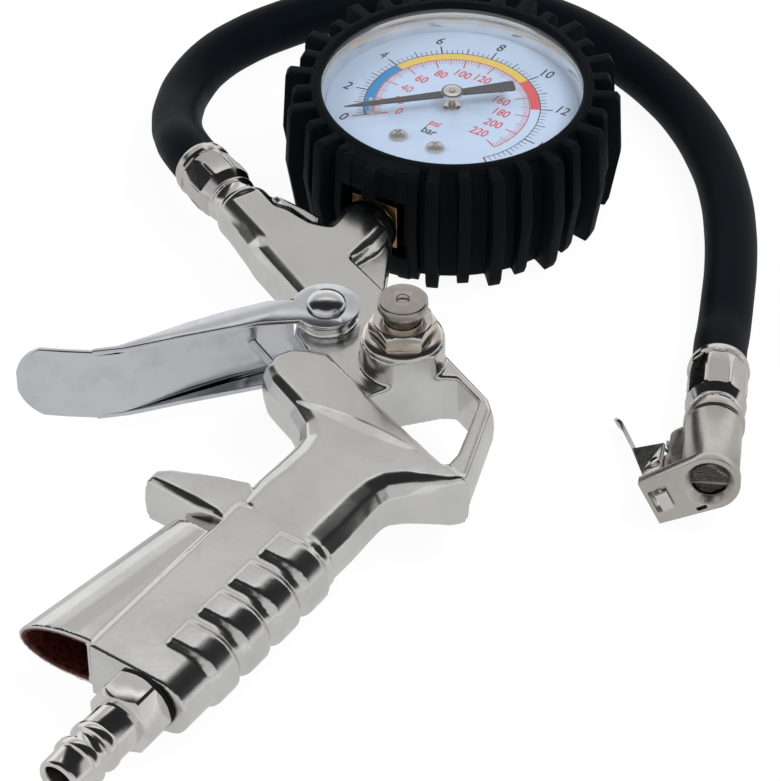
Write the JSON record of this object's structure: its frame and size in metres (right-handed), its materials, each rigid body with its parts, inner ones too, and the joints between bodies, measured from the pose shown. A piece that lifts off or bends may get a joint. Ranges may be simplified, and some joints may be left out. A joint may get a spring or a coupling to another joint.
{
  "type": "tyre inflator with gauge",
  "caption": "Pistol-grip tyre inflator with a rubber-booted dial gauge, squeeze lever, bleed button, air line plug and a short hose ending in a clip-on valve chuck.",
  "frame": {"origin": "centre of the gauge boot's flat back, which lies on the ground", "axes": "+Z out of the dial, -X along the barrel towards the hose, +Y from the barrel towards the gauge; the grip points to -Y"},
  "size_m": [0.2219, 0.2533, 0.041],
  "materials": {
    "cast_metal": "nickel-plated casting, satin to bright",
    "lever_steel": "zinc-plated sheet, smooth",
    "plated_steel": "nickel plated, bright",
    "dark_steel": "phosphated",
    "brass": "turned",
    "seal_rubber": "matte",
    "spring_steel": "drawn wire",
    "button_metal": "nickel plated, warm",
    "boot_rubber": "matte moulded rubber",
    "case_paint": "dark paint",
    "bezel_metal": "bright",
    "lens": "clear",
    "dial_face": "white print",
    "pointer_black": "matte black",
    "tube_brass": "drawn tube",
    "stem_brass": "tarnished",
    "ferrule_metal": "nickel plated, bright",
    "hose_rubber": "smooth black rubber",
    "chuck_metal": "nickel plated, satin",
    "clip_steel": "pressed sheet"
  },
  "bodies": {
    "inflator": {"gun_body": "cast_metal", "pivot_screw": "plated_steel", "pivot_clip": "dark_steel", "gland_nut": "brass", "pin_seal": "seal_rubber", "valve_seat": "brass", "valve_spring": "spring_steel", "release_nut": "plated_steel", "release_washer": "plated_steel", "release_spring": "spring_steel", "gauge_boot": "boot_rubber", "gauge_case": "case_paint", "gauge_bezel": "bezel_metal", "gauge_lens": "lens", "gauge_dial": "dial_face", "dial_screws": "plated_steel", "movement_plates": "brass", "movement_posts": "brass", "bourdon_tube": "tube_brass", "gauge_stem": "stem_brass", "stem_seal": "seal_rubber", "inlet_plug": "plated_steel", "plug_seal": "seal_rubber", "gun_ferrule": "ferrule_metal", "gun_insert": "plated_steel", "hose": "hose_rubber", "chuck_ferrule": "ferrule_metal", "chuck_insert": "plated_steel", "chuck_body": "chuck_metal", "chuck_seal": "seal_rubber", "chuck_pin": "plated_steel", "clip_pin": "plated_steel", "clip_spring": "spring_steel"},
    "lever": {"trigger_lever": "lever_steel"},
    "valve": {"valve_pin": "plated_steel"},
    "button": {"release_button": "button_metal", "release_seal": "seal_rubber"},
    "pointer": {"gauge_pointer": "pointer_black", "pinion_arbor": "brass"},
    "sector": {"sector_gear": "brass"},
    "link": {"movement_link": "spring_steel"},
    "clip": {"chuck_clip": "clip_steel"}
  },
  "joints": [
    {"name": "trigger_pivot", "type": "hinge", "parent": "inflator", "child": "lever", "pos_m": [0.0486, -0.0655, 0.0165], "axis": [0, 0, 1], "range_deg": [0, 12], "stiffness_Nm_per_rad": 1.5, "springref_deg": -14.32},
    {"name": "valve_slide", "type": "slide", "parent": "inflator", "child": "valve", "axis": [1, 0, 0], "range_m": [0, 0.0032]},
    {"name": "release_slide", "type": "slide", "parent": "inflator", "child": "button", "axis": [0, 0, -1], "range_m": [0, 0.0016], "stiffness_N_per_m": 600, "springref_m": -0.003, "deforming": ["release_spring"]},
    {"name": "pointer_turn", "type": "hinge", "parent": "inflator", "child": "pointer", "pos_m": [0, 0, 0.0165], "axis": [0, 0, 1], "range_deg": [-264, 0]},
    {"name": "sector_turn", "type": "hinge", "parent": "inflator", "child": "sector", "pos_m": [-0.0143, -0.0076, 0.0165], "axis": [0, 0, 1], "range_deg": [0, 41.5]},
    {"name": "link_turn", "type": "hinge", "parent": "sector", "child": "link", "pos_m": [-0.02124, -0.00852, 0.0165], "axis": [0, 0, 1], "range_deg": [-41.5, 0]},
    {"name": "clip_pivot", "type": "hinge", "parent": "inflator", "child": "clip", "pos_m": [0.11717, -0.01947, 0.00656], "axis": [0.3825, 0.2939, -0.876], "range_deg": [0, 6], "stiffness_Nm_per_rad": 0.3, "springref_deg": -17.19}
  ],
  "couplings": [
    {"joint": "valve_slide", "follows": "trigger_pivot", "m_per_rad": 0.015},
    {"joint": "pointer_turn", "follows": "sector_turn", "ratio": -6.3614},
    {"joint": "link_turn", "follows": "sector_turn", "ratio": -1}
  ]
}
